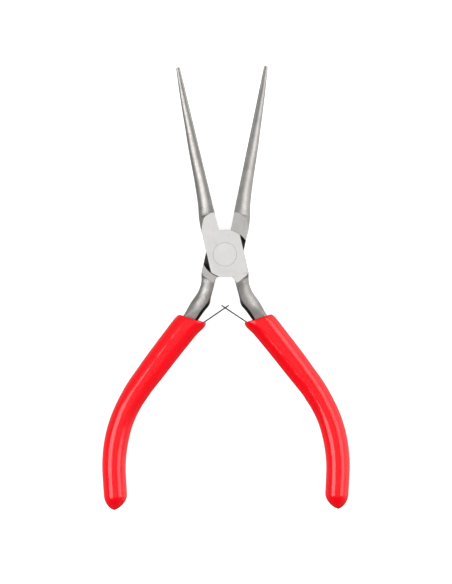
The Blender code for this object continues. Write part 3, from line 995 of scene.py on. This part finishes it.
def make_spring(name, turned_over, forked):
    """One strip, bent where it leaves the tang, with a fork or a tongue at its end."""
    half = SPRING_WIDTH / 2
    narrow = (SLOT_WIDTH if forked else TONGUE_WIDTH) / 2
    heights = [-half, -narrow, narrow, half]
    stations = steps(*FOOT_ROW) + steps(*SPRING_BEND_ROW) + steps(*LEAF_ROW)
    wide_count = len(stations) - 1
    stations += steps(*LEAF_END_ROW)[1:]
    built = bmesh.new()
    layers = {}
    for i, distance in enumerate(stations):
        point, heading = spring_place(distance)
        side = Vector((-heading.y, heading.x)) * SPRING_THICKNESS / 2
        for j, height in enumerate(heights):
            for k, sign in enumerate((-1, 1)):
                place = point + side * sign
                layers[i, j, k] = built.verts.new((place.x, place.y, MIDDLE + height))
    used = set()
    for i in range(len(stations) - 1):
        for j in range(3):
            if i < wide_count or (j != 1) == forked:
                used.add((i, j))
    for i, j in used:
        corners = ((i, j), (i + 1, j), (i + 1, j + 1), (i, j + 1))
        for k in (0, 1):
            built.faces.new([layers[a, b, k] for a, b in corners])
        borders = (
            ((i - 1, j), (i, j), (i, j + 1)),
            ((i + 1, j), (i + 1, j), (i + 1, j + 1)),
            ((i, j - 1), (i, j), (i + 1, j)),
            ((i, j + 1), (i, j + 1), (i + 1, j + 1)),
        )
        for neighbour, a, b in borders:
            if neighbour not in used:
                built.faces.new((layers[*a, 0], layers[*b, 0], layers[*b, 1], layers[*a, 1]))
    loose = [vertex for vertex in built.verts if not vertex.link_faces]
    bmesh.ops.delete(built, geom=loose, context="VERTS")
    matrix = side_matrix(turned_over)
    spring = make_piece(name, built, [spring_look], matrix, SPRING_SHARP)
    cut_away(spring, hole_in_tang(STRIP_HOLE_RADIUS, STRIP_HOLE_BOTTOM))
    bevel = spring.modifiers.new("edge", "BEVEL")
    bevel.width = SPRING_BEVEL * MM
    bevel.segments = 2
    bevel.limit_method = "ANGLE"
    bevel.angle_limit = radians(SPRING_BEVEL_ANGLE)
    bake_modifiers(spring)
    settle(spring)
    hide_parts(name + "_leaf", name + "_foot")
    bend = spring_place(0)[0]
    out = spring_place(LEAF_LENGTH)[1]
    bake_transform(spring)


def make_spring_rivet(name, body, turned_over):
    """A small domed rivet that clamps a spring's foot to the tang."""
    reach = SPRING_RIVET_HEAD_RADIUS
    profile = []
    for angle in steps(*DOME_ARC):
        radius = reach * sin(radians(angle)) + SPRING_RIVET_OVERHANG
        profile.append((radius, SPRING_RIVET_SEAT + SPRING_RIVET_HEAD * cos(radians(angle))))
    profile += [(reach, SPRING_RIVET_SEAT), (SPRING_RIVET_RADIUS, SPRING_RIVET_SEAT)]
    profile.append((SPRING_RIVET_RADIUS, -SPRING_RIVET_DEPTH))
    built = turned(profile)
    bmesh.ops.transform(built, matrix=on_tang(), verts=built.verts)
    rivet = make_piece(name + "_domed", built, [rivet_face], side_matrix(turned_over))
    finish_piece(rivet, "rivet_steel", body, name)


def make_pivot_rivet():
    """The large rivet, flush with both faces of the head."""
    built = turned(rivet_profile(0.0, MIDDLE, RIVET_EDGE))
    matrix = Matrix.Identity(4)
    rivet = make_piece("pivot_rivet_flush", built, [rivet_face], matrix, PIVOT_RIVET_SHARP)
    finish_piece(rivet, "rivet_steel", "lower_side", "pivot_rivet")


add_painted_shade(shank_steel)
make_lever("upper_lever", "upper_side", False, UPPER_FLAT)
make_lever("lower_lever", "lower_side", True, LOWER_FLAT_SHADED)
make_grip("right_grip", "upper_side", False, RIGHT_GRIP_DENTS)
make_grip("left_grip", "lower_side", True, ())
make_spring("right_spring", False, True)
make_spring("left_spring", True, False)
make_spring_rivet("right_spring_rivet", "upper_side", False)
make_spring_rivet("left_spring_rivet", "lower_side", True)
make_pivot_rivet()


# ---------------------------------------------------------------- floor, light, camera

# The camera's distance and its clipping are in metres.
PICTURE_HEIGHT_MM = 187.81
CAMERA_DISTANCE = 1.0
PICTURE_LEAN = -0.3
AIM_RIGHT_MM = 0.354
AIM_UP_MM = -12.06
SENSOR = 36.0
CLIP_START = 0.05
CLIP_END = 50.0

# The floor: half its side in metres, how far it lies below the tool, grey and glow.
FLOOR_REACH = 3.0
FLOOR_DROP = 0.05
FLOOR_GREY = (0.40, 0.40, 0.40)
FLOOR_ROUGHNESS = 0.6
FLOOR_GLOW = 0.85

# Soft boxes: name, angle to the right, distance, width, length and place along the tool
# in metres, radiance, and whether the steel mirrors them.
SOFTBOXES = (
    ("left_softbox", -45, 0.7, 0.46, 0.54, -0.06, 3.7, True),
    ("right_softbox", 53, 0.7, 0.40, 0.74, 0.13, 2.1, True),
    ("overhead_softbox", 0, 1.5, 1.2, 1.4, 0.0, 3.0, False),
)

# Angle from straight above, to the right, and the studio's tone there.
STUDIO_TONES = (
    (-180, 0.30),
    (-150, 0.40),
    (-125, 0.30),
    (-105, 0.22),
    (-85, 0.16),
    (-60, 0.28),
    (-30, 0.30),
    (-8, 0.22),
    (12, 0.22),
    (35, 0.36),
    (52, 0.65),
    (66, 0.90),
    (84, 1.05),
    (106, 1.05),
    (124, 0.75),
    (150, 0.45),
    (180, 0.30),
)
# Position from the handles' end to the jaws' end, and how much of the tone is left.
STUDIO_FADE = ((-1.0, 0.05), (-0.5, 0.15), (-0.1, 1.0), (0.6, 1.0), (1.0, 0.4))


def make_floor():
    """A white floor just below the tool, lit so that it fades into the surround."""
    built = bmesh.new()
    bmesh.ops.create_grid(built, x_segments=1, y_segments=1, size=FLOOR_REACH)
    mesh = bpy.data.meshes.new("floor")
    built.to_mesh(mesh)
    built.free()
    floor = bpy.data.objects.new("floor", mesh)
    bpy.context.scene.collection.objects.link(floor)
    floor.location.z = -FLOOR_DROP * MM
    look = Look("floor_look", FLOOR_GREY, FLOOR_ROUGHNESS, 0.0)
    look.shader.inputs["Specular IOR Level"].default_value = 0.0
    look.shader.inputs["Emission Color"].default_value = (1, 1, 1, 1)
    look.shader.inputs["Emission Strength"].default_value = FLOOR_GLOW
    mesh.materials.append(look.material)
    floor.visible_glossy = False


def make_softbox(name, angle, distance, width, length, along, radiance, mirrored):
    """A soft box that leans over to the right by an angle, and sits along the tool."""
    light = bpy.data.lights.new(name, "AREA")
    light.shape = "RECTANGLE"
    light.size = width
    light.size_y = length
    light.energy = radiance * width * length * pi
    lamp = bpy.data.objects.new(name, light)
    lean = Matrix.Rotation(radians(angle), 4, "Y")
    away = Matrix.Translation((0, 0, distance))
    lamp.matrix_world = Matrix.Translation((0, along, 0)) @ lean @ away
    lamp.visible_camera = False
    lamp.visible_glossy = mirrored
    bpy.context.scene.collection.objects.link(lamp)


def make_ramp(nodes, tones, span):
    """A ramp through pairs of place and tone, on a scale this long with 0 halfway."""
    ramp = nodes.new("ShaderNodeValToRGB")
    while len(ramp.color_ramp.elements) < len(tones):
        ramp.color_ramp.elements.new(0.5)
    for element, (at, tone) in zip(ramp.color_ramp.elements, tones):
        element.position = at / span + 0.5
        element.color = (tone, tone, tone, 1)
    return ramp


def make_world():
    """A white surround for the camera, and a grey studio for what the steel mirrors.

    The studio's tones follow the angle from straight above, to the left or right, and
    fade towards both ends of the tool.
    """
    world = bpy.data.worlds.new("studio")
    world.use_nodes = True
    world.cycles.sampling_method = "NONE"
    tree = world.node_tree
    nodes = tree.nodes
    place = nodes.new("ShaderNodeTexCoord")
    split = nodes.new("ShaderNodeSeparateXYZ")
    angle = nodes.new("ShaderNodeMath")
    angle.operation = "ARCTAN2"
    turn = nodes.new("ShaderNodeMapRange")
    turn.inputs["From Min"].default_value = -pi
    turn.inputs["From Max"].default_value = pi
    ramp = make_ramp(nodes, STUDIO_TONES, 360)
    tree.links.new(place.outputs["Generated"], split.inputs[0])
    tree.links.new(split.outputs["X"], angle.inputs[0])
    tree.links.new(split.outputs["Z"], angle.inputs[1])
    tree.links.new(angle.outputs[0], turn.inputs["Value"])
    tree.links.new(turn.outputs["Result"], ramp.inputs["Fac"])
    fade = make_ramp(nodes, STUDIO_FADE, 2)
    reach = nodes.new("ShaderNodeMapRange")
    reach.inputs["From Min"].default_value = -1.0
    tree.links.new(split.outputs["Y"], reach.inputs["Value"])
    tree.links.new(reach.outputs["Result"], fade.inputs["Fac"])
    studio = nodes.new("ShaderNodeMix")
    studio.data_type = "RGBA"
    studio.blend_type = "MULTIPLY"
    studio.inputs["Factor"].default_value = 1.0
    tree.links.new(ramp.outputs["Color"], studio.inputs["A"])
    tree.links.new(fade.outputs["Color"], studio.inputs["B"])
    seen = nodes.new("ShaderNodeLightPath")
    plain = nodes.new("ShaderNodeMix")
    plain.data_type = "RGBA"
    tree.links.new(seen.outputs["Is Camera Ray"], plain.inputs["Factor"])
    tree.links.new(studio.outputs["Result"], plain.inputs["A"])
    plain.inputs["B"].default_value = (1, 1, 1, 1)
    tree.links.new(plain.outputs["Result"], nodes["Background"].inputs["Color"])
    bpy.context.scene.world = world


def make_camera():
    """A camera straight above the tool that shows the photo's height of picture."""
    data = bpy.data.cameras.new("camera")
    data.sensor_width = SENSOR
    data.lens = SENSOR * CAMERA_DISTANCE / (PICTURE_HEIGHT_MM * MM)
    camera = bpy.data.objects.new("camera", data)
    turn = Matrix.Rotation(radians(PICTURE_LEAN), 4, "Z")
    aim = turn @ Vector((AIM_RIGHT_MM * MM, AIM_UP_MM * MM, 0))
    aim.z = MIDDLE * MM + CAMERA_DISTANCE
    camera.matrix_world = Matrix.Translation(aim) @ turn
    data.clip_start = CLIP_START
    data.clip_end = CLIP_END
    bpy.context.scene.collection.objects.link(camera)
    bpy.context.scene.camera = camera


make_floor()
make_world()
for softbox in SOFTBOXES:
    make_softbox(*softbox)
make_camera()

bpy.context.scene.view_settings.view_transform = "Standard"
bpy.context.scene.view_settings.look = "None"
